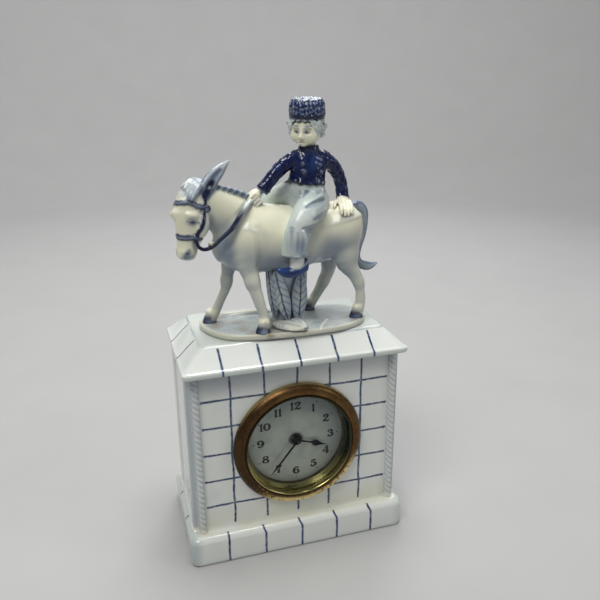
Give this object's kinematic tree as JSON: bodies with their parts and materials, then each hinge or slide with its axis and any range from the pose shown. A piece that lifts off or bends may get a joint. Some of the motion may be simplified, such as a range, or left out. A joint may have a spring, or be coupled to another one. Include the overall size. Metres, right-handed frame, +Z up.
{
  "type": "figural mantel clock",
  "caption": "Glazed porcelain mantel clock: a tiled, hollow case with a round brass-bezelled dial carries a boy in a tall hat riding a donkey on its hipped roof.",
  "frame": {"origin": "middle of the underside of the plinth's foot rim", "axes": "+Z up through the rider's hat, -Y out of the dial towards the viewer, +X to the viewer's right"},
  "size_m": [0.135, 0.079, 0.2639],
  "materials": {
    "porcelain": "clear-glazed white porcelain with cobalt lines",
    "painted_porcelain": "glazed porcelain painted in cobalt blues",
    "bezel_brass": "brown tarnished, worn bright at the lower edge",
    "clear_glass": "polished, domed",
    "dial_silver": "silvered, aged",
    "movement_brass": "dull brass",
    "hand_steel": "blackened"
  },
  "bodies": {
    "case": {"clock_case": "porcelain", "figure_group": "painted_porcelain", "bezel": "bezel_brass", "dial_glass": "clear_glass", "dial": "dial_silver", "movement_drum": "movement_brass"},
    "minute_arbor": {"minute_hand": "hand_steel", "hand_setting_knob": "movement_brass"},
    "hour_pipe": {"hour_hand": "hand_steel"},
    "winder": {"winding_key": "movement_brass"}
  },
  "joints": [
    {"name": "minute_turn", "type": "hinge", "parent": "case", "child": "minute_arbor", "pos_m": [0, 0, 0.0683], "axis": [0, 1, 0], "continuous": true},
    {"name": "hour_turn", "type": "hinge", "parent": "case", "child": "hour_pipe", "pos_m": [0, 0, 0.0683], "axis": [0, 1, 0], "continuous": true},
    {"name": "key_turn", "type": "hinge", "parent": "case", "child": "winder", "pos_m": [-0.013, 0, 0.0563], "axis": [0, -1, 0], "continuous": true}
  ],
  "couplings": [
    {"joint": "hour_turn", "follows": "minute_turn", "ratio": 0.083333}
  ]
}
